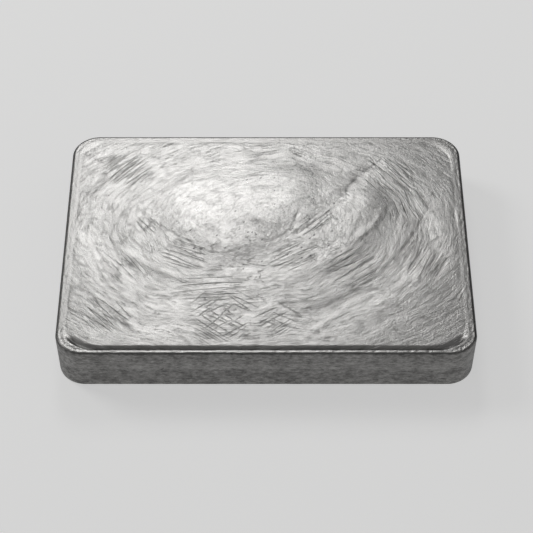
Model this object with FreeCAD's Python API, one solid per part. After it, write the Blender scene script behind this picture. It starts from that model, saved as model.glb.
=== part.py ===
"""A hand-poured ten troy ounce bar of fine silver, one solid, in millimetres.

The bar lies flat with its poured face up: +X runs along its length, +Y across it and +Z up.
The origin is on the floor under the middle of the bar.
"""

import FreeCAD, Part
import math
import os

from FreeCAD import Vector

# Overall size
LENGTH = 70.0  # along X, at the shoulder, which is the widest level
WIDTH = 52.2  # along Y, at the shoulder
HEIGHT = 8.5  # from the floor to the crest of the rim

SILVER_DENSITY = 0.01049  # grams per cubic millimetre

# Section of the cast sides
CORNER_RADIUS = 4.8  # in plan, at the shoulder
DRAFT = 0.25  # how far the foot is set in from the shoulder, for the mould to let go
FOOT_RADIUS = 0.6  # round along the bottom edge
SHOULDER_RADIUS = 0.5  # round outside the crest of the rim

# Rim left standing where the melt crept up the mould
RIM_WIDTH = 0.9  # from the outside of the bar to the inside of the crest
RIM_SLOPE = 0.3  # plan width of the slope from the crest down into the gutter
RIM_CORNER_RADIUS = 5.8  # in plan, inside the crest, so that the rim is wider at its corners
FRONT_GUTTER = 0.56  # depth of the gutter inside the rim, below the crest, along the front
SIDE_GUTTER = 0.34  # the same along the other three edges
FRONT_REACH = 1.8  # how far from the front edge the gutter keeps its full depth
FRONT_EASE = 3.0  # distance over which it then eases to the side gutter's depth

# Poured face
FACE_DROP = 0.30  # outer level of the face below the crest
CROWN_RUN = 0.95  # plan distance over which the face rises from the gutter
CROWN_CORNER_RADIUS = 6.6  # in plan, where the rise begins
PLATEAU_RISE = 0.22  # height of the plateau that froze last
PLATEAU_LEVEL = 0.62  # value of the lobe field at the middle of the plateau's slope
PLATEAU_SOFTNESS = 0.40  # half the range of the lobe field over which the slope runs
PLATEAU_LOBES = (  # centre x, centre y, radius
    (-12.5, 10.5, 8.6),
    (2.6, 13.6, 8.0),
    (-5.4, 2.6, 8.2),
)
TERRACES = (  # centre x, centre y, half length, half breadth, turn in degrees, rise, run
    (-1.4, 1.2, 29.5, 19.6, -3.0, -0.12, 3.6),
    (0.8, 2.6, 21.5, 13.2, 24.0, 0.15, 4.0),
)
SWELLS = (  # centre x, centre y, half length, half breadth, turn in degrees, rise
    (-24.5, 4.0, 6.0, 3.2, -38.0, 0.14),
    (17.5, 8.6, 7.0, 2.6, 66.0, 0.11),
    (14.5, 12.2, 7.5, 1.6, 52.0, -0.09),
    (-5.8, -6.6, 9.5, 3.4, 24.0, -0.17),
    (13.0, -15.0, 9.0, 2.6, 33.0, -0.13),
    (-27.0, -15.5, 7.0, 2.8, -42.0, 0.09),
    (-7.5, 9.2, 2.6, 1.8, 10.0, -0.04),
    (28.0, 3.0, 8.0, 2.4, -80.0, -0.12),
    (2.0, -14.0, 12.0, 3.4, 8.0, 0.10),
    (-3.0, 22.0, 13.0, 2.6, 4.0, -0.06),
)

# How the poured face is drawn
FACE_GRID = 1.4  # spacing of the points that the face passes through
FACE_MARGIN = 2.0  # how far the drawn face runs past the gutter's outline
SINK_BELOW_GUTTER = 0.4  # how far the tool that clears the face starts below the gutter


def rounded_rectangle(length, width, radius, z):
    """A closed wire with round corners, centred on the Z axis at height z."""
    x, y = length / 2 - radius, width / 2 - radius
    middle = radius * math.sqrt(0.5)
    corners = ((x, y, 1, 1), (-x, y, -1, 1), (-x, -y, -1, -1), (x, -y, 1, -1))
    edges = []
    for number, (cx, cy, sx, sy) in enumerate(corners):
        ends = [Vector(cx + sx * radius, cy, z), Vector(cx, cy + sy * radius, z)]
        if sx * sy < 0:
            ends.reverse()
        waist = Vector(cx + sx * middle, cy + sy * middle, z)
        if edges:
            edges.append(Part.LineSegment(last, ends[0]).toShape())
        else:
            first = ends[0]
        edges.append(Part.Arc(ends[0], waist, ends[1]).toShape())
        last = ends[1]
    edges.append(Part.LineSegment(last, first).toShape())
    return Part.Wire(edges)


def inset_outline(inset, radius, z):
    """The bar's plan outline set in by a distance, with its own corner radius, at height z."""
    return rounded_rectangle(LENGTH - 2 * inset, WIDTH - 2 * inset, radius, z)


def blank():
    """The bar as the mould shapes it, with a flat top level with the rim's crest."""
    foot_outline = inset_outline(DRAFT, CORNER_RADIUS - DRAFT, 0)
    body = Part.makeLoft([foot_outline, inset_outline(0, CORNER_RADIUS, HEIGHT)], True, True)
    foot = [e for e in body.Edges if e.BoundBox.ZMax < DRAFT]
    shoulder = [e for e in body.Edges if e.BoundBox.ZMin > HEIGHT - DRAFT]
    return body.makeFillet(FOOT_RADIUS, foot).makeFillet(SHOULDER_RADIUS, shoulder)


def smooth_step(value):
    """0 below 0, 1 above 1 and an easy curve between."""
    share = min(1.0, max(0.0, value))
    return share * share * (3 - 2 * share)


def distance_inside(x, y, inset, radius):
    """How far a point lies inside the plan outline that is set in by a distance."""
    dx = abs(x) - (LENGTH / 2 - inset - radius)
    dy = abs(y) - (WIDTH / 2 - inset - radius)
    return radius - math.hypot(max(dx, 0), max(dy, 0)) - min(max(dx, dy), 0)


def local(x, y, cx, cy, half_length, half_breadth, turn):
    """A point's place in a turned ellipse, in half lengths and half breadths from its centre."""
    c, s = math.cos(math.radians(turn)), math.sin(math.radians(turn))
    along, across = (x - cx) * c + (y - cy) * s, (y - cy) * c - (x - cx) * s
    return along / half_length, across / half_breadth


def front_share(y):
    """1 along the front edge, easing to 0 behind it."""
    return smooth_step((FRONT_REACH + FRONT_EASE - WIDTH / 2 - y) / FRONT_EASE)


def face_height(x, y):
    """Height of the poured face: the rise from the gutter, then the frozen terraces and swells."""
    lobes = sum(math.exp(-((x - cx) ** 2 + (y - cy) ** 2) / r**2) for cx, cy, r in PLATEAU_LOBES)
    waves = PLATEAU_RISE * smooth_step(0.5 + (lobes - PLATEAU_LEVEL) / (2 * PLATEAU_SOFTNESS))
    for cx, cy, half_length, half_breadth, turn, rise, run in TERRACES:
        u, v = local(x, y, cx, cy, half_length, half_breadth, turn)
        waves += rise * smooth_step(0.5 + (1 - math.hypot(u, v)) * half_breadth / run)
    for cx, cy, half_length, half_breadth, turn, rise in SWELLS:
        u, v = local(x, y, cx, cy, half_length, half_breadth, turn)
        waves += rise * math.exp(-(u * u + v * v))
    gutter = HEIGHT - SIDE_GUTTER - (FRONT_GUTTER - SIDE_GUTTER) * front_share(y)
    inside = distance_inside(x, y, RIM_WIDTH + RIM_SLOPE, CROWN_CORNER_RADIUS)
    return gutter + smooth_step(inside / CROWN_RUN) * (HEIGHT - FACE_DROP + waves - gutter)


def poured_face():
    """The wavy face as one smooth surface, a little larger than the gutter's outline."""
    half_x = LENGTH / 2 - RIM_WIDTH + FACE_MARGIN
    half_y = WIDTH / 2 - RIM_WIDTH + FACE_MARGIN
    columns, rows = math.ceil(2 * half_x / FACE_GRID), math.ceil(2 * half_y / FACE_GRID)
    points = []
    for i in range(columns + 1):
        x = half_x * (2 * i / columns - 1)
        ys = [half_y * (2 * j / rows - 1) for j in range(rows + 1)]
        points.append([Vector(x, y, face_height(x, y)) for y in ys])
    surface = Part.BSplineSurface()
    surface.interpolate(points)
    return surface.toShape()


def basin():
    """What is missing above the poured face, inside the rim: a plug with sloping sides."""
    gutter = HEIGHT - FRONT_GUTTER
    spread = RIM_SLOPE / FRONT_GUTTER
    sunk, raised = SINK_BELOW_GUTTER, (RIM_WIDTH - SHOULDER_RADIUS) / spread
    in_by, out_by = RIM_SLOPE + sunk * spread, raised * spread
    foot = inset_outline(RIM_WIDTH + in_by, RIM_CORNER_RADIUS - in_by, gutter - sunk)
    crest = inset_outline(RIM_WIDTH - out_by, RIM_CORNER_RADIUS + out_by, HEIGHT + raised)
    plug = Part.makeLoft([foot, crest], True, True)
    return plug.common(poured_face().extrude(Vector(0, 0, FRONT_GUTTER + raised)))


def silver_bar():
    """The blank with its poured face opened inside the rim."""
    shape = blank().cut(basin())
    return shape.Solids[0]


def main():
    os.makedirs("parts", exist_ok=True)
    bar = silver_bar()
    bar.exportStep("parts/silver_bar.step")
    print("volume", round(bar.Volume, 1), "mass", round(bar.Volume * SILVER_DENSITY, 1), "valid", bar.isValid())


main()
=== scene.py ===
"""The cast surface of a hand-poured ten troy ounce silver bar, and the studio that it is seen in.

The bar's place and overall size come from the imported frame. Its outline is a mesh of rings and
grid lines, and a node tree works the poured face: crinkles that follow the swirl of the melt,
folds, creases and hatching, and small pits. Object sizes are in metres.
"""

import math

import bpy
import numpy as np
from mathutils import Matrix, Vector


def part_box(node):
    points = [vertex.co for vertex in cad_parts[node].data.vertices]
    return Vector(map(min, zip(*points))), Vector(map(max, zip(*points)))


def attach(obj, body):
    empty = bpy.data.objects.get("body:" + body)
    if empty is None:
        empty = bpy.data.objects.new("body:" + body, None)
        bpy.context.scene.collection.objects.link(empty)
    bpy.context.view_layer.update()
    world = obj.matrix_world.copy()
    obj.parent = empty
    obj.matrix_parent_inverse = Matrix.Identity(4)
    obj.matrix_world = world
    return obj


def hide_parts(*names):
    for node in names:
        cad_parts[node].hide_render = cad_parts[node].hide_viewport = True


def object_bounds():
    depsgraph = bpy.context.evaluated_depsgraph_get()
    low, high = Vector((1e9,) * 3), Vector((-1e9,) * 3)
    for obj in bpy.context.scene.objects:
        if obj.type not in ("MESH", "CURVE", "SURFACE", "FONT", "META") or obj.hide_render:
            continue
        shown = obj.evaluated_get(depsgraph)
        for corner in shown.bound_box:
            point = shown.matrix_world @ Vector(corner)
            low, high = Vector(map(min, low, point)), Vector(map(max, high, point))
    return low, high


bl_info = {
    "name": "Poured Silver Bar",
    "version": (1, 0, 0),
    "blender": (4, 5, 0),
    "location": "3D View > Sidebar > Silver Bar",
    "description": "Casts a hand-poured silver bar with a crinkled face, and lights it",
    "category": "Add Mesh",
}

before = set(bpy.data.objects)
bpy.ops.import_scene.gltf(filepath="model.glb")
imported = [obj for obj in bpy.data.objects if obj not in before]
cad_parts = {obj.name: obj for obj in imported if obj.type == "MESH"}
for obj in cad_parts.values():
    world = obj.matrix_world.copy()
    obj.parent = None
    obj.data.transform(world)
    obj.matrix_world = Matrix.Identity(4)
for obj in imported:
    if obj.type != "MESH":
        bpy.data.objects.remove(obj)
CAD_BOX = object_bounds()

MM = 0.001
BODY = "root"
NODE = "silver_bar"
FRONT_Y = CAD_BOX[0][1] / MM  # of the front edge, in millimetres

# Grid and rings of the mesh
BAND_WIDTH = 2.2 * MM  # along each edge of the face, where the grid lines lie closer
BAND_CELLS = 15
FACE_CELL = 0.245 * MM
SHOULDER_RINGS = 6
WALL_RINGS = 13
FOOT_RINGS = 4
BASE_INSETS = (1.6 * MM, 3.2 * MM, 6.0 * MM, 11.0 * MM)  # of the thinning rings under the bar

# Rim and gutter in plan
FRONT_REACH = 1.8 * MM  # from the front edge, where the gutter keeps its full depth
FRONT_EASE = 3.0 * MM  # over which it then eases to the side gutter's depth
SIDE_SOFTENING = 2.6  # how many widths are added to the rim's slope along the sides and back
EARLY_FALL = 0.1  # share of the fall into the gutter that lies before the slope
GUTTER_SHADE = 0.32 * MM  # half width of the painted shade line at the gutter's bottom

# The swirl of the melt and the smooth heart of the plateau, outside which the face is given painted shade, in
# millimetres
SWIRL_CENTRE = (-2.0, 4.0)
SWIRL_ASPECT = 1.4  # how much longer the swirl is than it is broad
SWIRL_EYE = 0.5  # smallest reach at which the swirl still has a direction
SWIRL_CALM = (5.0, 13.0)  # reach over which the crinkles grow from quiet to full
HEART_CENTRE = (-4.5, 11.0)
HEART_HALF = (17.0, 8.5)

# Large waves of the poured face, in millimetres and degrees
PLATEAU_LOBES = (  # centre x, centre y, radius
    (-12.5, 10.5, 8.6),
    (2.6, 13.6, 8.0),
    (-5.4, 2.6, 8.2),
)
PLATEAU_RISE = 0.22
PLATEAU_LEVEL = 0.62  # value of the lobe field at the middle of the plateau's slope
PLATEAU_SOFTNESS = 0.40  # half the range of the lobe field over which the slope runs
TERRACES = (  # centre x, centre y, half length, half breadth, turn, rise, run
    (-1.4, 1.2, 29.5, 19.6, -3.0, -0.12, 3.6),
    (0.8, 2.6, 21.5, 13.2, 24.0, 0.15, 4.0),
)
SWELLS = (  # centre x, centre y, half length, half breadth, turn, rise
    (-24.5, 4.0, 6.0, 3.2, -38.0, 0.14),
    (17.5, 8.6, 7.0, 2.6, 66.0, 0.09),
    (14.5, 12.2, 7.5, 1.6, 52.0, -0.09),
    (-5.8, -6.6, 9.5, 3.4, 24.0, -0.17),
    (13.0, -15.0, 9.0, 2.6, 33.0, -0.13),
    (-27.0, -15.5, 7.0, 2.8, -42.0, 0.09),
    (-7.5, 9.2, 2.6, 1.8, 10.0, -0.04),
    (28.0, 3.0, 8.0, 2.4, -80.0, -0.12),
    (2.0, -14.0, 12.0, 3.4, 8.0, 0.10),
    (-3.0, 22.0, 13.0, 2.6, 4.0, -0.06),
)

# Patches of fine parallel scratches in the skin, in millimetres and degrees
HATCHES = (  # centre x, centre y, turn, count, spacing, length
    (22.4, 15.6, -49.0, 10, 0.85, 8.5),
    (25.4, 8.8, -68.0, 7, 0.8, 6.0),
    (-7.0, -18.3, -38.0, 12, 1.1, 6.5),
    (-7.6, -17.6, 38.0, 11, 1.2, 5.0),
    (2.8, -17.6, -35.0, 6, 1.3, 4.2),
    (1.2, -18.2, 36.0, 6, 1.2, 4.0),
    (-26.4, -17.2, -46.0, 9, 0.8, 6.0),
    (-9.5, -11.4, 6.0, 8, 0.8, 9.0),
    (15.0, -6.8, 38.0, 11, 0.75, 7.0),
    (-24.0, -7.0, -52.0, 8, 0.8, 4.5),
    (-25.0, 17.6, 48.0, 10, 0.85, 6.0),
    (27.4, -5.6, 60.0, 9, 0.7, 6.0),
    (-21.0, 3.6, -55.0, 6, 0.6, 3.6),
    (8.6, 4.6, 44.0, 7, 0.55, 6.5),
    (4.6, -4.0, 32.0, 8, 0.75, 7.0),
    (-14.0, -3.6, -24.0, 8, 0.8, 6.0),
)

# Lines worked into the poured face, as plan points in millimetres
FOLDS = (
    ((14.6, 10.6), (11.7, 7.7), (8.2, 4.2), (5.2, 1.8), (2.0, 0.2)),
    ((21.3, 20.5), (16.3, 15.2), (14.3, 12.0), (14.6, 10.4)),
    ((6.1, 8.3), (5.2, 5.3), (3.6, 1.8), (0.6, -0.5)),
    ((-23.3, 8.8), (-21.0, 5.9), (-18.1, 3.0), (-14.6, 0.4), (-10.5, -2.6), (-6.5, -3.0), (-3.4, -1.6)),
    ((28.6, 8.0), (26.6, 3.4), (23.4, -2.4), (19.6, -7.6)),
    ((-30.2, -3.6), (-27.8, -9.2), (-24.0, -13.8), (-19.8, -17.2)),
)
CREASES = (
    ((21.4, 20.9), (25.0, 16.4), (27.4, 11.6), (28.8, 7.6), (28.4, 5.6)),
    ((20.2, 20.4), (24.0, 15.6), (26.4, 11.4)),
    ((18.9, 19.6), (22.6, 15.0), (24.8, 12.4)),
    ((-18.7, -9.8), (-12.6, -10.0), (-7.0, -8.7)),
    ((-17.0, -15.2), (-12.8, -18.0), (-8.2, -22.2)),
    ((-13.6, -16.4), (-9.4, -19.2), (-6.0, -21.6)),
    ((-11.6, -17.6), (-7.8, -15.4), (-5.2, -14.2)),
    ((-9.6, -20.4), (-6.2, -17.2), (-3.6, -15.0)),
    ((0.4, -15.2), (3.4, -17.0), (5.2, -18.4)),
    ((-22.4, 4.6), (-21.2, 2.6), (-20.0, 1.0)),
    ((-10.6, -9.6), (-4.0, -9.2), (2.6, -10.0)),
    ((12.6, -8.6), (14.4, -5.6), (16.0, -4.2)),
)
RIDGES = (
    ((6.1, -22.6), (10.5, -18.4), (14.4, -14.6), (18.2, -12.8), (21.0, -12.0), (24.5, -8.9)),
    ((29.0, -2.2), (27.4, -6.6), (24.4, -11.0)),
    ((-27.0, 1.0), (-23.6, -3.4), (-18.4, -7.0), (-13.0, -9.4)),
    ((20.4, 8.6), (19.6, 5.2), (16.6, 1.2), (13.0, -2.0)),
    ((-27.6, -13.8), (-24.6, -17.4), (-20.4, -21.6)),
)

# Breadth of the lines and reach of the largest pits, in millimetres
FOLD_BREADTH = 0.85
CREASE_BREADTH = 0.42
RIDGE_BREADTH = 2.0
PIT_REACH = 0.2

# Shares of each kind of crinkle in the crinkle height
CRINKLES = {"strands": 0.45, "valleys": 0.55, "cross": 0.45, "wrinkles": 0.7, "grain": 0.4}

# Shares of the painted shade in the hollows of the relief: pits, creases, folds, crinkle valleys and the
# gutter's bottom
HOLLOWS = {"creases": 0.1, "folds": 0.2, "valleys": 0.1, "cross": 0.12, "wrinkles": 0.3, "gutter": 1.1}

# Shares of the dark colour in each part of the skin: painted shade in the hollows, over the rim and crest,
# outside the heart and on the sides, where streaks and cloud make it uneven; the specks are uneven tone
SHADES = {
    "hollow": 0.9, "specks": 0.25, "marks": 0.14, "crest": 0.22, "painted_rim_shade": 0.3, "shade_outside_heart": 0.1,
    "sides": 0.86, "streaks": 0.45, "cloud": 0.2,
}

# Heights of the finest grain, in millimetres
GRAIN = {
    "fine": 0.018, "threads": 0.016, "veins": 0.012, "hatching": 0.05, "marks": 0.03, "specks": 0.008,
    "side_streaks": 0.06, "side_fine": 0.04, "side_cloud": 0.03,
}

# Studio: places and sizes in metres
FLOOR_REACH = 4.0
KEY_PLACE = (-0.036, 0.362, 0.37)
KEY_AIM = (-0.006, 0.008, 0.0)
KEY_SIZE = (0.11, 0.16)
SIDE_PLACE = (-0.64, 0.37, 0.52)
SIDE_SIZE = 0.3
SENSOR_WIDTH = 36.0  # in millimetres
CAMERA_SHIFT = (0.05 * MM, 0.93 * MM)  # of the camera to the right and up, in its own plane


class CastSizes(bpy.types.PropertyGroup):
    """Section of the bar's edges."""

    corner_radius: bpy.props.FloatProperty(
        name="Corner Radius", description="Radius of the bar's corners in plan",
        default=4.8 * MM, unit="LENGTH"
    )
    draft: bpy.props.FloatProperty(
        name="Draft", description="How far the foot is set in from the shoulder",
        default=0.25 * MM, unit="LENGTH"
    )
    foot_radius: bpy.props.FloatProperty(
        name="Foot Radius", description="Round along the bottom edge", default=0.6 * MM, unit="LENGTH"
    )
    shoulder_radius: bpy.props.FloatProperty(
        name="Shoulder Radius", description="Round outside the rim's crest", default=0.5 * MM, unit="LENGTH"
    )
    rim_width: bpy.props.FloatProperty(
        name="Rim Width", description="From the outside to the inside of the crest",
        default=0.9 * MM, unit="LENGTH"
    )
    rim_slope: bpy.props.FloatProperty(
        name="Rim Slope", description="Plan width of the slope into the gutter",
        default=0.3 * MM, unit="LENGTH"
    )
    rim_corner_radius: bpy.props.FloatProperty(
        name="Rim Corner Radius", description="Radius inside the crest in plan",
        default=5.8 * MM, unit="LENGTH"
    )
    front_gutter: bpy.props.FloatProperty(
        name="Front Gutter", description="Depth of the gutter along the front",
        default=0.56 * MM, unit="LENGTH"
    )
    side_gutter: bpy.props.FloatProperty(
        name="Side Gutter", description="Depth of the gutter elsewhere", default=0.31 * MM, unit="LENGTH"
    )
    side_crest_drop: bpy.props.FloatProperty(
        name="Side Crest Drop", description="How much lower the rim is elsewhere",
        default=0.28 * MM, unit="LENGTH"
    )
    face_drop: bpy.props.FloatProperty(
        name="Face Drop", description="Outer level of the face below the crest",
        default=0.30 * MM, unit="LENGTH"
    )
    crown_run: bpy.props.FloatProperty(
        name="Crown Run", description="Plan distance over which the face rises",
        default=0.95 * MM, unit="LENGTH"
    )
    crown_corner_radius: bpy.props.FloatProperty(
        name="Crown Corner Radius", description="Radius where the rise begins",
        default=6.6 * MM, unit="LENGTH"
    )


class ReliefSizes(bpy.types.PropertyGroup):
    """Fine relief of the cast skin. Heights and sizes are in millimetres."""

    crinkle_height: bpy.props.FloatProperty(
        name="Crinkle Height", description="Depth of the crinkles in millimetres", default=0.013
    )
    crinkle_breadth: bpy.props.FloatProperty(
        name="Crinkle Breadth", description="Spacing of the crinkles in millimetres", default=0.7
    )
    crinkle_turns: bpy.props.FloatProperty(
        name="Crinkle Turns", description="How often the crinkles break up round the swirl", default=5.0
    )
    wave_height: bpy.props.FloatProperty(
        name="Wave Height", description="Height of the soft waves in millimetres", default=0.09
    )
    wave_breadth: bpy.props.FloatProperty(
        name="Wave Breadth", description="Spacing of the soft waves in millimetres", default=7.0
    )
    fold_depth: bpy.props.FloatProperty(
        name="Fold Depth", description="Depth of the long folds in millimetres", default=0.055
    )
    crease_depth: bpy.props.FloatProperty(
        name="Crease Depth", description="Depth of the thin creases in millimetres", default=0.034
    )
    ridge_height: bpy.props.FloatProperty(
        name="Ridge Height", description="Height of the hand-drawn ridges in millimetres", default=0.05
    )
    pit_depth: bpy.props.FloatProperty(
        name="Pit Depth", description="Depth of the pits in millimetres", default=0.035
    )
    side_height: bpy.props.FloatProperty(
        name="Side Grain", description="Height of the streaks on the sides in millimetres", default=0.03
    )


class SilverFinish(bpy.types.PropertyGroup):
    """Colour and gloss of the silver."""

    colour: bpy.props.FloatVectorProperty(
        name="Silver", description="Colour of the bright metal",
        default=(0.80, 0.79, 0.77), size=3, subtype="COLOR"
    )
    # Colour of the painted shade in the hollows, along the rim, outside the heart and on the sides
    dark_colour: bpy.props.FloatVectorProperty(
        name="Hollows", description="Colour in creases and pits",
        default=(0.13, 0.128, 0.125), size=3, subtype="COLOR"
    )
    roughness: bpy.props.FloatProperty(
        name="Roughness", description="Roughness of the poured face", default=0.31, subtype="FACTOR"
    )
    side_roughness: bpy.props.FloatProperty(
        name="Side Roughness", description="Roughness of the sides", default=0.42, subtype="FACTOR"
    )


class StudioSetup(bpy.types.PropertyGroup):
    """Floor, lamps and camera."""

    floor_colour: bpy.props.FloatVectorProperty(
        name="Floor", description="Colour of the floor", default=(0.72, 0.72, 0.71), size=3, subtype="COLOR"
    )
    floor_lift: bpy.props.FloatProperty(
        name="Floor Lift", description="Paleness of the floor that lights nothing else", default=0.5
    )
    world_level: bpy.props.FloatProperty(
        name="World Level", description="Strength of the even light all round", default=0.10
    )
    key_power: bpy.props.FloatProperty(
        name="Key Power", description="Power of the softbox behind the bar", default=0.2, unit="POWER"
    )
    side_power: bpy.props.FloatProperty(
        name="Side Power", description="Power of the softbox behind and to the left",
        default=1.1, unit="POWER"
    )
    camera_elevation: bpy.props.FloatProperty(
        name="Camera Elevation", description="Angle of the view above the floor",
        default=math.radians(47.25), unit="ROTATION"
    )
    camera_distance: bpy.props.FloatProperty(
        name="Camera Distance", description="From the camera to the bar's middle",
        default=0.3365, unit="LENGTH"
    )
    lens: bpy.props.FloatProperty(name="Lens", description="Focal length in millimetres", default=128.8)


class Field:
    """A socket of a node tree that plain arithmetic works on: each operation adds a math node."""

    def __init__(self, tree, socket):
        self.tree = tree
        self.socket = socket

    def math(self, operation, *others):
        node = self.tree.nodes.new("ShaderNodeMath")
        node.operation = operation
        for slot, value in zip(node.inputs, (self, *others)):
            join(self.tree, value, slot)
        return Field(self.tree, node.outputs[0])

    def __add__(self, other):
        return self.math("ADD", other)

    def __sub__(self, other):
        return self.math("SUBTRACT", other)

    def __mul__(self, other):
        return self.math("MULTIPLY", other)

    def __truediv__(self, other):
        return self.math("DIVIDE", other)

    def step(self, low, high, first=0.0, last=1.0):
        """A smooth step from first at low to last at high."""
        node = self.tree.nodes.new("ShaderNodeMapRange")
        node.interpolation_type = "SMOOTHSTEP"
        for name, value in (
            ("Value", self), ("From Min", low), ("From Max", high), ("To Min", first), ("To Max", last)
        ):
            join(self.tree, value, node.inputs[name])
        return Field(self.tree, node.outputs["Result"])


def join(tree, value, slot):
    """Links a field or a socket to an input, or sets the input to a plain value."""
    if isinstance(value, Field):
        value = value.socket
    if isinstance(value, bpy.types.NodeSocket):
        tree.links.new(value, slot)
    else:
        slot.default_value = value


def add_node(tree, kind, settings=None, **inputs):
    """Adds a node. Settings are its properties, and inputs are sockets by name with _ for a space."""
    node = tree.nodes.new(kind)
    for name, value in (settings or {}).items():
        setattr(node, name, value)
    for name, value in inputs.items():
        wanted = name.replace("_", " ")
        slot = next(s for s in node.inputs if s.name == wanted and s.enabled)
        join(tree, value, slot)
    return node


def noise(tree, place, scale, detail=2.0, roughness=0.5, distortion=0.0):
    """Noise centred on zero, about -1 to 1."""
    node = add_node(
        tree, "ShaderNodeTexNoise", Vector=place, Scale=scale, Detail=detail,
        Roughness=roughness, Distortion=distortion
    )
    value = Field(tree, next(s for s in node.outputs if s.name in ("Fac", "Factor")))
    return (value - 0.5) * 2.0


def combine(tree, x, y, z):
    return add_node(tree, "ShaderNodeCombineXYZ", X=x, Y=y, Z=z).outputs["Vector"]


def separate(tree, vector):
    node = add_node(tree, "ShaderNodeSeparateXYZ", Vector=vector)
    return [Field(tree, s) for s in node.outputs]


def scaled(tree, vector, factor):
    node = add_node(tree, "ShaderNodeVectorMath", {"operation": "SCALE"}, Vector=vector)
    join(tree, factor, node.inputs["Scale"])
    return node.outputs["Vector"]


def moved(tree, vector, offset):
    node = tree.nodes.new("ShaderNodeVectorMath")
    join(tree, vector, node.inputs[0])
    join(tree, offset, node.inputs[1])
    return node.outputs["Vector"]


def swirl_place(tree, place, radial, turns):
    """Where a point lies in the swirl of the melt: across the flow, and round it without a seam."""
    x, y, _ = separate(tree, place)
    across = (x - SWIRL_CENTRE[0]) / SWIRL_ASPECT
    up = y - SWIRL_CENTRE[1]
    reach = (across * across + up * up).math("SQRT")
    far = reach.math("MAXIMUM", SWIRL_EYE)
    return combine(tree, reach / radial, across / far * turns, up / far * turns), reach


def smooth_step(value):
    share = np.clip(value, 0.0, 1.0)
    return share * share * (3 - 2 * share)


def distance_inside(x, y, half, inset, radius):
    """How far points lie inside the plan outline that is set in by a distance."""
    dx = np.abs(x) - (half[0] - inset - radius)
    dy = np.abs(y) - (half[1] - inset - radius)
    return radius - np.hypot(np.maximum(dx, 0), np.maximum(dy, 0)) - np.minimum(np.maximum(dx, dy), 0)


def turned(x, y, cx, cy, half_length, half_breadth, turn):
    """Places of points in a turned ellipse, in half lengths and half breadths."""
    c, s = math.cos(math.radians(turn)), math.sin(math.radians(turn))
    return ((x - cx) * c + (y - cy) * s) / half_length, ((y - cy) * c - (x - cx) * s) / half_breadth


def frozen_waves(x, y):
    """Plateau, terraces and swells over the face, in metres above its outer level."""
    x, y = x / MM, y / MM
    lobes = sum(np.exp(-((x - cx) ** 2 + (y - cy) ** 2) / r**2) for cx, cy, r in PLATEAU_LOBES)
    waves = PLATEAU_RISE * smooth_step(0.5 + (lobes - PLATEAU_LEVEL) / (2 * PLATEAU_SOFTNESS))
    for cx, cy, half_length, half_breadth, turn, rise, run in TERRACES:
        u, v = turned(x, y, cx, cy, half_length, half_breadth, turn)
        waves = waves + rise * smooth_step(0.5 + (1 - np.hypot(u, v)) * half_breadth / run)
    for cx, cy, half_length, half_breadth, turn, rise in SWELLS:
        u, v = turned(x, y, cx, cy, half_length, half_breadth, turn)
        waves = waves + rise * np.exp(-(u * u + v * v))
    return waves * MM


def front_share(y, half):
    """1 along the front edge, easing to 0 behind it."""
    return smooth_step((FRONT_REACH + FRONT_EASE - y - half[1]) / FRONT_EASE)


def crest_height(y, half, height, sizes):
    return height - sizes.side_crest_drop * (1 - front_share(y, half))


def top_height(x, y, half, height, sizes):
    """Height of the top inside the shoulder, share of face, distance from the edge, and the line at the
    gutter's bottom that gets painted shade.
    """
    from_edge = distance_inside(x, y, half, 0.0, sizes.corner_radius)
    into_slope = distance_inside(x, y, half, sizes.rim_width, sizes.rim_corner_radius)
    front = front_share(y, half)
    slope = sizes.rim_slope * (1 + SIDE_SOFTENING * (1 - front))
    rim_fall = smooth_step(EARLY_FALL + into_slope / slope * (1 - EARLY_FALL))
    onto_face = distance_inside(x, y, half, sizes.rim_width + sizes.rim_slope, sizes.crown_corner_radius)
    crown = smooth_step(onto_face / sizes.crown_run)
    gutter = height - sizes.side_gutter - (sizes.front_gutter - sizes.side_gutter) * front
    face = gutter + crown * (height - sizes.face_drop + frozen_waves(x, y) - gutter)
    crest = crest_height(y, half, height, sizes)
    # Mask of the painted shade line along the gutter's bottom at the front
    bottom = np.exp(-(((into_slope - slope * (1 - EARLY_FALL)) / GUTTER_SHADE) ** 2)) * front
    return crest + (face - crest) * rim_fall, rim_fall, from_edge, bottom


def line_places(half):
    """Grid line places from -half to half, closer together in a band at each end."""
    band = np.linspace(half - BAND_WIDTH, half, BAND_CELLS + 1)
    inner = half - BAND_WIDTH
    count = math.ceil(2 * inner / FACE_CELL)
    return np.concatenate([-band[:0:-1], np.linspace(-inner, inner, count + 1), band[1:]])


def rounded(p, q, half, radius):
    """Bends a square grid over a rectangle so that its corners become quarter discs."""
    cx = np.clip(p, -(half[0] - radius), half[0] - radius)
    cy = np.clip(q, -(half[1] - radius), half[1] - radius)
    a, b = np.abs(p - cx), np.abs(q - cy)
    reach = np.maximum(a, b)
    share = np.minimum(a, b) / np.maximum(reach, 1e-12)
    angle = np.where(a >= b, share * math.pi / 4, math.pi / 2 - share * math.pi / 4)
    sx, sy = np.sign(p - cx), np.sign(q - cy)
    return cx + sx * reach * np.cos(angle), cy + sy * reach * np.sin(angle), cx, cy, angle, sx, sy


def section_rings(height, sizes):
    """Inset and height of each ring from below the crest, down the side and under the foot."""
    rings = []
    for number in range(1, SHOULDER_RINGS + 1):
        angle = math.pi / 2 * number / SHOULDER_RINGS
        rise = sizes.shoulder_radius * math.cos(angle)
        inset = sizes.shoulder_radius * (1 - math.sin(angle))
        rings.append((inset, height - sizes.shoulder_radius + rise))
    top, low = height - sizes.shoulder_radius, sizes.foot_radius
    for number in range(1, WALL_RINGS + 1):
        z = top + (low - top) * number / WALL_RINGS
        rings.append((sizes.draft * (top - z) / top, z))
    wall_foot = rings[-1][0]
    for number in range(1, FOOT_RINGS + 1):
        angle = math.pi / 2 * number / FOOT_RINGS
        inset = wall_foot + sizes.foot_radius * (1 - math.cos(angle))
        rings.append((inset, sizes.foot_radius * (1 - math.sin(angle))))
    return rings


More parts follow.
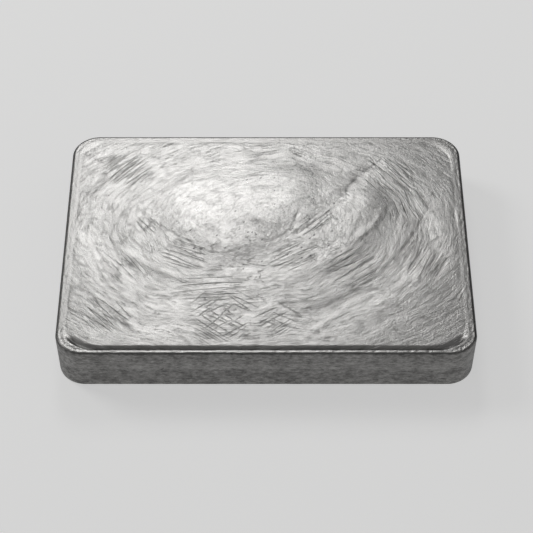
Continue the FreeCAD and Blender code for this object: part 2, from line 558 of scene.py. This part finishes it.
def blank_bar(sizes):
    """The bar before its fine relief: one closed mesh, with the poured face marked."""
    low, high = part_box(NODE)
    half = ((high[0] - low[0]) / 2, (high[1] - low[1]) / 2)
    height = high[2] - low[2]
    inner = (half[0] - sizes.shoulder_radius, half[1] - sizes.shoulder_radius)
    columns, rows = line_places(inner[0]), line_places(inner[1])
    p, q = np.meshgrid(columns, rows, indexing="ij")
    p, q = p.ravel(), q.ravel()
    x, y, cx, cy, angle, sx, sy = rounded(p, q, inner, sizes.corner_radius - sizes.shoulder_radius)
    z, face, from_edge, gutter = top_height(x, y, half, height, sizes)
    nx, ny = len(columns), len(rows)
    number = np.arange(nx * ny).reshape(nx, ny)
    quads = np.stack([number[:-1, :-1], number[1:, :-1], number[1:, 1:], number[:-1, 1:]], -1)
    faces = [tuple(f) for f in quads.reshape(-1, 4).tolist()]
    border = np.concatenate([number[:-1, 0], number[-1, :-1], number[:0:-1, -1], number[0, :0:-1]])
    reach_x = np.where(sx[border] == 0, 0.0, np.cos(angle[border])) * sx[border]
    reach_y = np.where(sy[border] == 0, 0.0, np.sin(angle[border])) * sy[border]
    points = [np.stack([x, y, z], 1)]
    marks = [face]
    edges = [from_edge]
    last = border.tolist()
    count = len(last)
    total = nx * ny
    for inset, ring_z in section_rings(height, sizes):
        radius = sizes.corner_radius - inset
        ring_x, ring_y = cx[border] + reach_x * radius, cy[border] + reach_y * radius
        share = smooth_step((ring_z - height * 0.5) / (height * 0.5))
        drop = (height - crest_height(ring_y, half, height, sizes)) * share
        ring = np.stack([ring_x, ring_y, ring_z - drop], 1)
        points.append(ring)
        marks.append(np.full(count, 0.0))
        edges.append(np.full(count, inset if ring_z > height / 2 else 0.0))
        ring_numbers = list(range(total, total + count))
        total += count
        for i in range(count):
            j = (i + 1) % count
            faces.append((last[j], last[i], ring_numbers[i], ring_numbers[j]))
        last = ring_numbers
    ring = points[-1]
    for inset in BASE_INSETS:
        if len(last) % 2:
            break  # only an even ring can be halved
        scale = np.array([(half[0] - inset) / half[0], (half[1] - inset) / half[1], 1.0])
        ring = ring[::2] * scale
        points.append(ring)
        marks.append(np.full(len(ring), 0.0))
        edges.append(np.full(len(ring), 0.0))
        ring_numbers = list(range(total, total + len(ring)))
        total += len(ring)
        outer = len(last)
        for k, inner_number in enumerate(ring_numbers):
            here, between, after = last[2 * k], last[2 * k + 1], last[(2 * k + 2) % outer]
            following = ring_numbers[(k + 1) % len(ring_numbers)]
            faces += [
                (between, here, inner_number), (between, inner_number, following), (after, between, following)
            ]
        last = ring_numbers
    points.append(np.array([[0.0, 0.0, 0.0]]))
    marks.append(np.array([0.0]))
    edges.append(np.array([0.0]))
    for i, here in enumerate(last):
        faces.append((last[(i + 1) % len(last)], here, total))
    centre = ((low[0] + high[0]) / 2, (low[1] + high[1]) / 2, low[2])
    mesh = bpy.data.meshes.new("silver_bar_blank")
    places = np.concatenate(points) + np.array(centre)
    mesh.from_pydata(places.tolist(), [], faces)
    mark = mesh.attributes.new("poured", "FLOAT", "POINT")
    mark.data.foreach_set("value", np.concatenate(marks).astype(np.float32))
    edge = mesh.attributes.new("from_edge", "FLOAT", "POINT")
    edge.data.foreach_set("value", (np.concatenate(edges) / MM).astype(np.float32))
    # The painted shade line at the gutter's bottom, for the silver to darken
    groove = mesh.attributes.new("gutter", "FLOAT", "POINT")
    gutters = np.zeros(len(places))
    gutters[:len(gutter)] = gutter
    groove.data.foreach_set("value", gutters.astype(np.float32))
    mesh.update()
    return mesh


def plan_lines(name, lines):
    """Smooth curves through plan points, at height zero."""
    curve = bpy.data.curves.new(name, "CURVE")
    curve.dimensions = "3D"
    curve.resolution_u = 12
    for line in lines:
        spline = curve.splines.new("BEZIER")
        spline.bezier_points.add(len(line) - 1)
        for point, (x, y) in zip(spline.bezier_points, line):
            point.co = (x * MM, y * MM, 0.0)
            point.handle_left_type = point.handle_right_type = "AUTO"
    item = bpy.data.objects.new(name, curve)
    bpy.context.scene.collection.objects.link(item)
    return item


def hatch_tree():
    """A node group that draws one patch of short, nearly parallel curves in the plan."""
    tree = bpy.data.node_groups.new("hatch_patch", "GeometryNodeTree")
    face = tree.interface
    face.new_socket("Centre", in_out="INPUT", socket_type="NodeSocketVector")
    for name in ("Turn", "Spacing", "Length"):
        face.new_socket(name, in_out="INPUT", socket_type="NodeSocketFloat")
    for name in ("Count", "Seed"):
        face.new_socket(name, in_out="INPUT", socket_type="NodeSocketInt")
    face.new_socket("Curves", in_out="OUTPUT", socket_type="NodeSocketGeometry")
    given = tree.nodes.new("NodeGroupInput").outputs
    count, spacing = Field(tree, given["Count"]), Field(tree, given["Spacing"])
    length = Field(tree, given["Length"])
    row = add_node(
        tree, "GeometryNodeMeshLine", Count=given["Count"], Offset=combine(tree, 0.0, spacing, 0.0),
        Start_Location=combine(tree, 0.0, (count - 1.0) * spacing * -0.5, 0.0)
    )
    slip = random_value(tree, -0.5, 0.5, given["Seed"], 1)
    slide = random_value(tree, -0.3, 0.3, given["Seed"], 2)
    loose = add_node(
        tree, "GeometryNodeSetPosition", Geometry=row.outputs["Mesh"],
        Offset=combine(tree, slide * length, slip * spacing, 0.0)
    )
    stroke = add_node(
        tree, "GeometryNodeCurvePrimitiveLine", Start=combine(tree, length * -0.5, 0.0, 0.0),
        End=combine(tree, length * 0.5, 0.0, 0.0)
    )
    strokes = add_node(
        tree, "GeometryNodeInstanceOnPoints", Points=loose.outputs["Geometry"],
        Instance=stroke.outputs["Curve"],
        Rotation=combine(tree, 0.0, 0.0, random_value(tree, -0.16, 0.16, given["Seed"], 3)),
        Scale=combine(tree, random_value(tree, 0.35, 1.15, given["Seed"], 4), 1.0, 1.0)
    )
    real = add_node(tree, "GeometryNodeRealizeInstances", Geometry=strokes.outputs["Instances"])
    laid = add_node(
        tree, "GeometryNodeTransform", Geometry=real.outputs["Geometry"], Translation=given["Centre"],
        Rotation=combine(tree, 0.0, 0.0, given["Turn"])
    )
    out = tree.nodes.new("NodeGroupOutput")
    tree.links.new(laid.outputs["Geometry"], out.inputs["Curves"])
    return tree


def random_value(tree, low, high, seed, number):
    """A random number for each point, the same on every run."""
    node = add_node(tree, "FunctionNodeRandomValue", {"data_type": "FLOAT"})
    slots = [s for s in node.inputs if s.enabled]
    by_name = {s.name: s for s in slots}
    join(tree, low, by_name["Min"])
    join(tree, high, by_name["Max"])
    join(tree, Field(tree, seed) + float(number), by_name["Seed"])
    return Field(tree, next(s for s in node.outputs if s.enabled))


def hatched(tree):
    """All the hatch patches as one set of curves."""
    patch = hatch_tree()
    joined = tree.nodes.new("GeometryNodeJoinGeometry")
    for number, (x, y, turn, count, spacing, length) in enumerate(HATCHES):
        node = tree.nodes.new("GeometryNodeGroup")
        node.node_tree = patch
        node.inputs["Centre"].default_value = (x * MM, y * MM, 0.0)
        node.inputs["Turn"].default_value = math.radians(turn)
        node.inputs["Spacing"].default_value = spacing * MM
        node.inputs["Length"].default_value = length * MM
        node.inputs["Count"].default_value = count
        node.inputs["Seed"].default_value = 10 * number
        tree.links.new(node.outputs["Curves"], joined.inputs[0])
    return joined.outputs["Geometry"]


def drawn(tree, lines):
    return add_node(tree, "GeometryNodeObjectInfo", Object=lines).outputs["Geometry"]


def line_profile(tree, curves, breadth, wander):
    """1 on the curves and 0 at half a breadth from them, fading towards their ends."""
    fine = add_node(tree, "GeometryNodeResampleCurve", {"mode": "LENGTH"}, Curve=curves)
    fine.inputs["Length"].default_value = 0.2 * MM
    along = Field(tree, tree.nodes.new("GeometryNodeSplineParameter").outputs["Factor"])
    ends = (along * (along * -1.0 + 1.0) * 4.0).math("POWER", 0.45)
    kept = add_node(
        tree, "GeometryNodeStoreNamedAttribute", {"data_type": "FLOAT", "domain": "POINT"},
        Geometry=fine.outputs["Curve"], Name="ends", Value=ends
    )
    wire = add_node(tree, "GeometryNodeCurveToMesh", Curve=kept.outputs["Geometry"]).outputs["Mesh"]
    near = add_node(tree, "GeometryNodeProximity", {"target_element": "EDGES"}, Sample_Position=wander)
    join(tree, wire, near.inputs[0])
    nearest = add_node(tree, "GeometryNodeSampleNearest", Geometry=wire, Sample_Position=wander)
    fade = add_node(tree, "GeometryNodeInputNamedAttribute", {"data_type": "FLOAT"}, Name="ends")
    sampled = add_node(
        tree, "GeometryNodeSampleIndex", {"data_type": "FLOAT"}, Geometry=wire,
        Value=fade.outputs["Attribute"], Index=nearest.outputs["Index"]
    )
    distance = Field(tree, near.outputs["Distance"]) * (1.0 / MM)
    return distance.step(0.0, breadth * 0.5, 1.0, 0.0) * Field(tree, sampled.outputs["Value"])


def stored(tree, name):
    """A number stored on the mesh, read in a geometry tree."""
    node = add_node(tree, "GeometryNodeInputNamedAttribute", {"data_type": "FLOAT"}, Name=name)
    return Field(tree, node.outputs["Attribute"])


def shaken(tree, place, scale, detail, roughness, far, offset):
    """A shift in the plan that wanders from place to place."""
    x = noise(tree, place, scale, detail, roughness) * far
    y = noise(tree, moved(tree, place, offset), scale, detail, roughness) * far
    return combine(tree, x, y, 0.0)


def relief_tree(material):
    """The node tree that works the fine relief into a blank bar."""
    tree = bpy.data.node_groups.new("cast_relief", "GeometryNodeTree")
    face = tree.interface
    face.new_socket("Geometry", in_out="INPUT", socket_type="NodeSocketGeometry")
    for name in ("Folds", "Creases", "Ridges"):
        face.new_socket(name, in_out="INPUT", socket_type="NodeSocketObject")
    for name in (
        "Crinkle Height", "Crinkle Breadth", "Crinkle Turns", "Wave Height", "Wave Breadth", "Fold Depth",
        "Crease Depth", "Ridge Height", "Pit Depth", "Side Grain"
    ):
        face.new_socket(name, in_out="INPUT", socket_type="NodeSocketFloat")
    face.new_socket("Silver", in_out="INPUT", socket_type="NodeSocketMaterial")
    face.new_socket("Geometry", in_out="OUTPUT", socket_type="NodeSocketGeometry")
    given = tree.nodes.new("NodeGroupInput").outputs
    value = {s.name: Field(tree, s) for s in given if s.type == "VALUE"}

    place = scaled(tree, tree.nodes.new("GeometryNodeInputPosition").outputs[0], 1.0 / MM)
    poured = stored(tree, "poured")
    face_only = poured.step(0.75, 1.0)
    from_edge = stored(tree, "from_edge")
    gutter = stored(tree, "gutter")
    side_only = from_edge.step(0.0, 0.15, 1.0, 0.0)
    rim_only = from_edge.step(0.25, 0.6) * from_edge.step(0.9, 1.35, 1.0, 0.0)

    # Soft waves and crinkles that follow the swirl
    shake = shaken(tree, place, 0.16, 1.0, 0.5, 1.4, (31, 7, 3))
    drifted = moved(tree, place, shake)
    flow, reach = swirl_place(tree, drifted, value["Crinkle Breadth"], value["Crinkle Turns"])
    broad, _ = swirl_place(tree, drifted, value["Wave Breadth"], 2.4)
    calm = reach.step(*SWIRL_CALM, 0.25, 1.0)
    waves = noise(tree, broad, 1.0, 1.0) * value["Wave Height"] * calm
    strands = noise(tree, flow, 0.62, 2.0, 0.6, 0.5)
    valleys = strands.math("ABSOLUTE").step(0.0, 0.16, -1.0, 0.0)
    cross = noise(tree, moved(tree, flow, (11, 5, 2)), 0.8, 2.0, 0.55, 0.9)
    cross_valleys = cross.math("ABSOLUTE").step(0.0, 0.10, -1.0, 0.0)
    wrinkle_cells = add_node(
        tree, "ShaderNodeTexVoronoi", {"feature": "DISTANCE_TO_EDGE"},
        Vector=moved(tree, flow, shake), Scale=0.75
    )
    wrinkles = Field(tree, wrinkle_cells.outputs["Distance"]).step(0.0, 0.14, -1.0, 0.0)
    wrinkles = wrinkles * noise(tree, place, 0.5, 1.0).step(-0.35, 0.25, 0.15, 1.0)
    grain = noise(tree, place, 1.7, 2.0, 0.65)
    crinkles = strands * CRINKLES["strands"] + valleys * CRINKLES["valleys"] + grain * CRINKLES["grain"]
    crinkles = crinkles + cross_valleys * CRINKLES["cross"] + wrinkles * CRINKLES["wrinkles"]
    crinkles = crinkles * value["Crinkle Height"] * calm

    # Listed lines, made to wander a little
    jitter = shaken(tree, place, 0.8, 3.0, 0.6, 0.5, (5, 17, 9))
    x, y, _ = separate(tree, moved(tree, place, jitter))
    wander = scaled(tree, combine(tree, x, y, 0.0), MM)
    folds = line_profile(tree, drawn(tree, given["Folds"]), FOLD_BREADTH, wander)
    thin = tree.nodes.new("GeometryNodeJoinGeometry")
    tree.links.new(drawn(tree, given["Creases"]), thin.inputs[0])
    tree.links.new(hatched(tree), thin.inputs[0])
    creases = line_profile(tree, thin.outputs["Geometry"], CREASE_BREADTH, wander)
    ridges = line_profile(tree, drawn(tree, given["Ridges"]), RIDGE_BREADTH, wander)
    patchy = noise(tree, place, 0.6, 2.0).step(-0.35, 0.3, 0.1, 1.0)
    lines = ridges * value["Ridge Height"] - folds * value["Fold Depth"] * patchy
    lines = lines - creases * value["Crease Depth"] * patchy

    # Pits where the metal froze last
    pit_cells = add_node(
        tree, "ShaderNodeTexVoronoi", {"feature": "F1"}, Vector=place, Scale=1.3, Randomness=1.0
    )
    chosen = separate(tree, pit_cells.outputs["Color"])[0]
    pit_size = chosen.step(0.35, 1.0, 0.0, PIT_REACH)
    pits = (Field(tree, pit_cells.outputs["Distance"]) / (pit_size + 0.02)).step(0.4, 1.0, 1.0, 0.0)
    pits = pits * chosen.math("GREATER_THAN", 0.35) * reach.step(9.0, 17.0, 1.0, 0.15)

    height = waves + crinkles + lines - pits * value["Pit Depth"]
    height = height * face_only

    # Rim and sides
    nicks = noise(tree, place, 0.95, 3.0, 0.6)
    px, py, pz = separate(tree, place)
    near_front = (py - FRONT_Y).step(1.1, 6.1, 1.0, 0.4)
    fine_nicks = noise(tree, place, 2.1, 2.0, 0.6)
    rim = (nicks.math("ABSOLUTE") * -0.22 + fine_nicks * 0.05 - 0.02) * rim_only * near_front
    sway = combine(tree, nicks, noise(tree, moved(tree, place, (3, 9, 1)), 0.8, 2.0), 0.0)
    wobble = scaled(tree, sway, rim_only * 0.1 * MM)
    streaks = noise(tree, combine(tree, px * 0.22, py * 0.22, pz * 1.9), 1.0, 2.0, 0.6)
    side = (streaks.math("ABSOLUTE") * -1.0) * value["Side Grain"] * side_only * pz.step(0.0, 0.8, 0.0, 1.0)

    normal = tree.nodes.new("GeometryNodeInputNormal").outputs[0]
    lift = combine(tree, 0.0, 0.0, (height + rim) * MM)
    push = scaled(tree, normal, side * MM)
    push = moved(tree, push, wobble)
    # Painted shade: a mask of the pits, creases, folds, crinkle valleys and the gutter's bottom line, where
    # the silver is darkened as if in shade; it also roughens the silver a little
    hollow = pits + creases * HOLLOWS["creases"] + folds * HOLLOWS["folds"] - valleys * HOLLOWS["valleys"]
    hollow = hollow - cross_valleys * HOLLOWS["cross"] - wrinkles * HOLLOWS["wrinkles"]
    hollow = hollow * face_only + gutter * (nicks * 0.3 + HOLLOWS["gutter"])
    marked = add_node(
        tree, "GeometryNodeStoreNamedAttribute", {"data_type": "FLOAT", "domain": "POINT"},
        Geometry=given["Geometry"], Name="hollow", Value=hollow
    )
    mapped = add_node(
        tree, "GeometryNodeStoreNamedAttribute", {"data_type": "FLOAT_VECTOR", "domain": "POINT"},
        Geometry=marked.outputs["Geometry"], Name="flow", Value=flow
    )
    shaped = add_node(
        tree, "GeometryNodeSetPosition", Geometry=mapped.outputs["Geometry"], Offset=moved(tree, lift, push)
    )
    smooth = add_node(tree, "GeometryNodeSetShadeSmooth", Geometry=shaped.outputs["Geometry"])
    real = add_node(tree, "GeometryNodeRealizeInstances", Geometry=smooth.outputs[0])
    dressed = add_node(tree, "GeometryNodeSetMaterial", Geometry=real.outputs[0], Material=given["Silver"])
    out = tree.nodes.new("NodeGroupOutput")
    tree.links.new(dressed.outputs[0], out.inputs["Geometry"])
    return tree


def hatch_lines(tree, px, py):
    """Fine parallel ridges in the hatch patches, and the sharp lines between them."""
    ridges, lines = px * 0.0, px * 0.0
    for number, (x, y, turn, count, spacing, length) in enumerate(HATCHES):
        c, s = math.cos(math.radians(turn)), math.sin(math.radians(turn))
        along = (px - x) * c + (py - y) * s
        across = (py - y) * c - (px - x) * s
        far_along, far_across = along / (length * 0.75), across / (count * spacing * 0.6)
        inside = (far_along * far_along + far_across * far_across).step(0.3, 1.1, 1.0, 0.0)
        strokes = combine(tree, along * 0.06 + 9.0 * number, across * (0.62 / spacing), 0.0)
        wave = noise(tree, strokes, 1.0, 1.0, 0.5)
        ridges = ridges + wave * inside
        lines = lines + wave.math("ABSOLUTE").step(0.0, 0.07, 1.0, 0.0) * inside
    return ridges, lines.math("MINIMUM", 1.0)


def painted(tree, name):
    """A number stored on the mesh, read in a material."""
    return Field(tree, add_node(tree, "ShaderNodeAttribute", {"attribute_name": name}).outputs["Fac"])


def silver_material(finish):
    """Satin cast silver with painted shade in its hollows, along the rim, outside the heart and on the sides,
    and a fine grain that follows the swirl.
    """
    material = bpy.data.materials.new("cast_silver")
    material.use_nodes = True
    tree = material.node_tree
    shader = tree.nodes["Principled BSDF"]
    place = scaled(tree, tree.nodes.new("ShaderNodeTexCoord").outputs["Object"], 1.0 / MM)
    # Mask of the painted shade in the hollows, made by the relief tree
    hollow = painted(tree, "hollow")
    poured = painted(tree, "poured")
    from_edge = painted(tree, "from_edge")
    flow = add_node(tree, "ShaderNodeAttribute", {"attribute_name": "flow"}).outputs["Vector"]
    px, py, pz = separate(tree, place)
    front = (py - FRONT_Y).step(1.3, 4.5, 1.0, 0.0)
    # The front and side walls: painted shade, rougher silver and streaks
    sides = (from_edge + front * 0.2).step(0.2, 0.65, 1.0, 0.0)
    heart_x = (px - HEART_CENTRE[0]) / HEART_HALF[0]
    heart_y = (py - HEART_CENTRE[1]) / HEART_HALF[1]
    heart = (heart_x * heart_x + heart_y * heart_y).step(0.35, 1.5, 1.0, 0.0)
    # Painted shade over the front rim's crest, which dulls its highlight
    crest = from_edge.step(0.8, 1.3, 1.0, 0.0) * front * (sides * -1.0 + 1.0)
    # Painted shade along the inside of the rim at the sides and back
    painted_rim_shade = from_edge.step(0.7, 3.0, 1.0, 0.0) * (front * -1.0 + 1.0)
    cloud = noise(tree, place, 0.35, 3.0, 0.6)
    fine = noise(tree, place, 3.2, 3.0, 0.7)
    threads = noise(tree, flow, 1.9, 3.0, 0.65, 0.3)
    specks = noise(tree, place, 1.6, 1.0).step(0.42, 0.62)
    veins = noise(tree, flow, 0.55, 3.0, 0.6, 0.5)
    hatching, scratches = hatch_lines(tree, px, py)
    vein_lines = veins.math("ABSOLUTE").step(0.0, 0.05, 1.0, 0.0)
    vein_lines = vein_lines * noise(tree, place, 0.45, 2.0).step(-0.15, 0.3)
    # Vein and scratch lines, cut into the bump and darkened with painted shade, fewer in the heart
    marks = (vein_lines * 0.6 + scratches) * poured * (heart * -0.85 + 1.0)
    streaks = noise(tree, combine(tree, px * 1.1, py * 1.1, pz * 2.6), 1.0, 3.0, 0.7)

    mix = add_node(tree, "ShaderNodeMix", {"data_type": "RGBA"})
    # Painted shade from the masks above, with the specks as uneven tone
    dark = hollow * SHADES["hollow"] + specks * SHADES["specks"] + marks * SHADES["marks"]
    dark = dark + crest * SHADES["crest"] + painted_rim_shade * SHADES["painted_rim_shade"]
    # Painted shade over the poured face outside its bright heart, where the softbox's highlight falls
    dark = dark + (heart * -1.0 + 1.0) * poured * SHADES["shade_outside_heart"]
    # Painted shade on the walls, made uneven by the streaks and cloud
    dark = dark + sides * (streaks * SHADES["streaks"] + cloud * SHADES["cloud"] + SHADES["sides"])
    colours = [s for s in mix.inputs if s.type == "RGBA"]
    join(tree, dark.math("MINIMUM", 1.0), mix.inputs[0])
    colours[0].default_value = (*finish.colour, 1.0)
    colours[1].default_value = (*finish.dark_colour, 1.0)
    tree.links.new(next(s for s in mix.outputs if s.type == "RGBA"), shader.inputs["Base Color"])
    rough = sides.step(0.0, 1.0, finish.roughness, finish.side_roughness)
    join(tree, rough + cloud * 0.04 + fine * 0.03 + hollow * 0.08 - heart * 0.02, shader.inputs["Roughness"])
    shader.inputs["Metallic"].default_value = 1.0

    on_face = threads * GRAIN["threads"] + veins * GRAIN["veins"] + hatching * GRAIN["hatching"]
    on_sides = streaks * GRAIN["side_streaks"] + fine * GRAIN["side_fine"] + cloud * GRAIN["side_cloud"]
    relief = fine * GRAIN["fine"] + on_face * poured + on_sides * sides
    relief = relief - marks * GRAIN["marks"] - specks * GRAIN["specks"]
    bump = add_node(tree, "ShaderNodeBump", Height=relief * MM, Strength=1.0, Distance=1.0)
    tree.links.new(bump.outputs["Normal"], shader.inputs["Normal"])
    return material


class SILVERBAR_OT_cast(bpy.types.Operator):
    """Cast the bar over its place in the frame."""

    bl_idname = "silver_bar.cast"
    bl_label = "Cast Bar"
    bl_options = {"REGISTER", "UNDO"}

    def execute(self, context):
        scene = context.scene
        relief = scene.silver_bar_relief
        blank = bpy.data.objects.new("cast_bar", blank_bar(scene.silver_bar_sizes))
        scene.collection.objects.link(blank)
        helpers = {
            "Folds": plan_lines("fold_lines", FOLDS),
            "Creases": plan_lines("crease_lines", CREASES),
            "Ridges": plan_lines("ridge_lines", RIDGES),
        }
        material = silver_material(scene.silver_bar_finish)
        tree = relief_tree(material)
        modifier = blank.modifiers.new("cast_relief", "NODES")
        modifier.node_group = tree
        given = {
            "Crinkle Height": relief.crinkle_height, "Crinkle Breadth": relief.crinkle_breadth,
            "Crinkle Turns": relief.crinkle_turns, "Wave Height": relief.wave_height,
            "Wave Breadth": relief.wave_breadth, "Fold Depth": relief.fold_depth,
            "Crease Depth": relief.crease_depth, "Ridge Height": relief.ridge_height,
            "Pit Depth": relief.pit_depth, "Side Grain": relief.side_height, "Silver": material, **helpers,
        }
        for socket in tree.interface.items_tree:
            if socket.in_out == "INPUT" and socket.name in given:
                modifier[socket.identifier] = given[socket.name]
        depsgraph = context.evaluated_depsgraph_get()
        mesh = bpy.data.meshes.new_from_object(blank.evaluated_get(depsgraph))
        blank.modifiers.remove(modifier)
        blank.data = mesh
        for helper in helpers.values():
            bpy.data.objects.remove(helper)
        if not len(mesh.polygons):
            raise RuntimeError("the relief tree gave no mesh")
        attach(blank, BODY)
        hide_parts(NODE)
        return {"FINISHED"}


def area_lamp(name, place, aim, size, power, breadth=None):
    """A softbox at a place, turned towards a point."""
    data = bpy.data.lights.new(name, "AREA")
    data.energy = power
    data.size = size
    if breadth:
        data.shape = "RECTANGLE"
        data.size_y = breadth
    lamp = bpy.data.objects.new(name, data)
    lamp.location = place
    lamp.rotation_euler = (Vector(aim) - Vector(place)).to_track_quat("-Z", "Y").to_euler()
    bpy.context.scene.collection.objects.link(lamp)
    return lamp


class SILVERBAR_OT_set_stage(bpy.types.Operator):
    """Lay the floor, set up the lamps and place the camera."""

    bl_idname = "silver_bar.set_stage"
    bl_label = "Set Stage"
    bl_options = {"REGISTER", "UNDO"}

    def execute(self, context):
        scene = context.scene
        setup = scene.silver_bar_studio
        low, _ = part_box(NODE)
        floor_mesh = bpy.data.meshes.new("floor")
        reach, level = FLOOR_REACH, low[2]
        floor_mesh.from_pydata(
            [(-reach, -reach, level), (reach, -reach, level), (reach, reach, level), (-reach, reach, level)],
            [], [(0, 1, 2, 3)]
        )
        floor = bpy.data.objects.new("floor", floor_mesh)
        scene.collection.objects.link(floor)
        paint = bpy.data.materials.new("floor_paint")
        paint.use_nodes = True
        tree = paint.node_tree
        shader = tree.nodes["Principled BSDF"]
        shader.inputs["Base Color"].default_value = (*setup.floor_colour, 1.0)
        shader.inputs["Roughness"].default_value = 0.9
        rays = tree.nodes.new("ShaderNodeLightPath").outputs
        seen = Field(tree, rays["Is Camera Ray"]).math("MAXIMUM", Field(tree, rays["Is Glossy Ray"]))
        seen = seen.math("MAXIMUM", Field(tree, rays["Is Transmission Ray"]))
        shader.inputs["Emission Color"].default_value = (1.0, 1.0, 1.0, 1.0)
        join(tree, seen * setup.floor_lift, shader.inputs["Emission Strength"])
        floor_mesh.materials.append(paint)

        world = bpy.data.worlds.new("studio_air")
        scene.world = world
        world.use_nodes = True
        world.node_tree.nodes["Background"].inputs["Color"].default_value = (1.0, 1.0, 1.0, 1.0)
        world.node_tree.nodes["Background"].inputs["Strength"].default_value = setup.world_level

        area_lamp("key_softbox", KEY_PLACE, KEY_AIM, KEY_SIZE[0], setup.key_power, KEY_SIZE[1])
        area_lamp("side_softbox", SIDE_PLACE, (0.0, 0.0, 0.0), SIDE_SIZE, setup.side_power)

        eye = setup.camera_elevation
        camera_data = bpy.data.cameras.new("camera")
        camera_data.sensor_width = SENSOR_WIDTH
        camera_data.lens = setup.lens
        camera = bpy.data.objects.new("camera", camera_data)
        right = Vector((1.0, 0.0, 0.0))
        up = Vector((0.0, math.sin(eye), math.cos(eye)))
        away = Vector((0.0, -math.cos(eye), math.sin(eye)))
        camera.location = away * setup.camera_distance + right * CAMERA_SHIFT[0] + up * CAMERA_SHIFT[1]
        camera.rotation_euler = (math.pi / 2 - eye, 0.0, 0.0)
        scene.collection.objects.link(camera)
        scene.camera = camera
        scene.view_settings.view_transform = "Standard"
        return {"FINISHED"}


class SILVERBAR_PT_panel(bpy.types.Panel):
    """The bar's sizes, finish and studio, and the buttons that make them."""

    bl_idname = "SILVERBAR_PT_panel"
    bl_label = "Poured Silver Bar"
    bl_space_type = "VIEW_3D"
    bl_region_type = "UI"
    bl_category = "Silver Bar"

    def draw(self, context):
        for group in (
            context.scene.silver_bar_sizes, context.scene.silver_bar_relief,
            context.scene.silver_bar_finish, context.scene.silver_bar_studio
        ):
            box = self.layout.box()
            for name in group.__annotations__:
                box.prop(group, name)
        self.layout.operator(SILVERBAR_OT_cast.bl_idname)
        self.layout.operator(SILVERBAR_OT_set_stage.bl_idname)


GROUPS = {
    "silver_bar_sizes": CastSizes,
    "silver_bar_relief": ReliefSizes,
    "silver_bar_finish": SilverFinish,
    "silver_bar_studio": StudioSetup,
}
TOOLS = (SILVERBAR_OT_cast, SILVERBAR_OT_set_stage, SILVERBAR_PT_panel)


def register():
    for tool in (*GROUPS.values(), *TOOLS):
        bpy.utils.register_class(tool)
    for name, group in GROUPS.items():
        setattr(bpy.types.Scene, name, bpy.props.PointerProperty(type=group))


def unregister():
    for name in GROUPS:
        delattr(bpy.types.Scene, name)
    for tool in reversed((*GROUPS.values(), *TOOLS)):
        bpy.utils.unregister_class(tool)


def main():
    """Make the bar and its studio."""
    register()
    bpy.ops.silver_bar.cast()
    bpy.ops.silver_bar.set_stage()


if __name__ == "__main__":
    main()
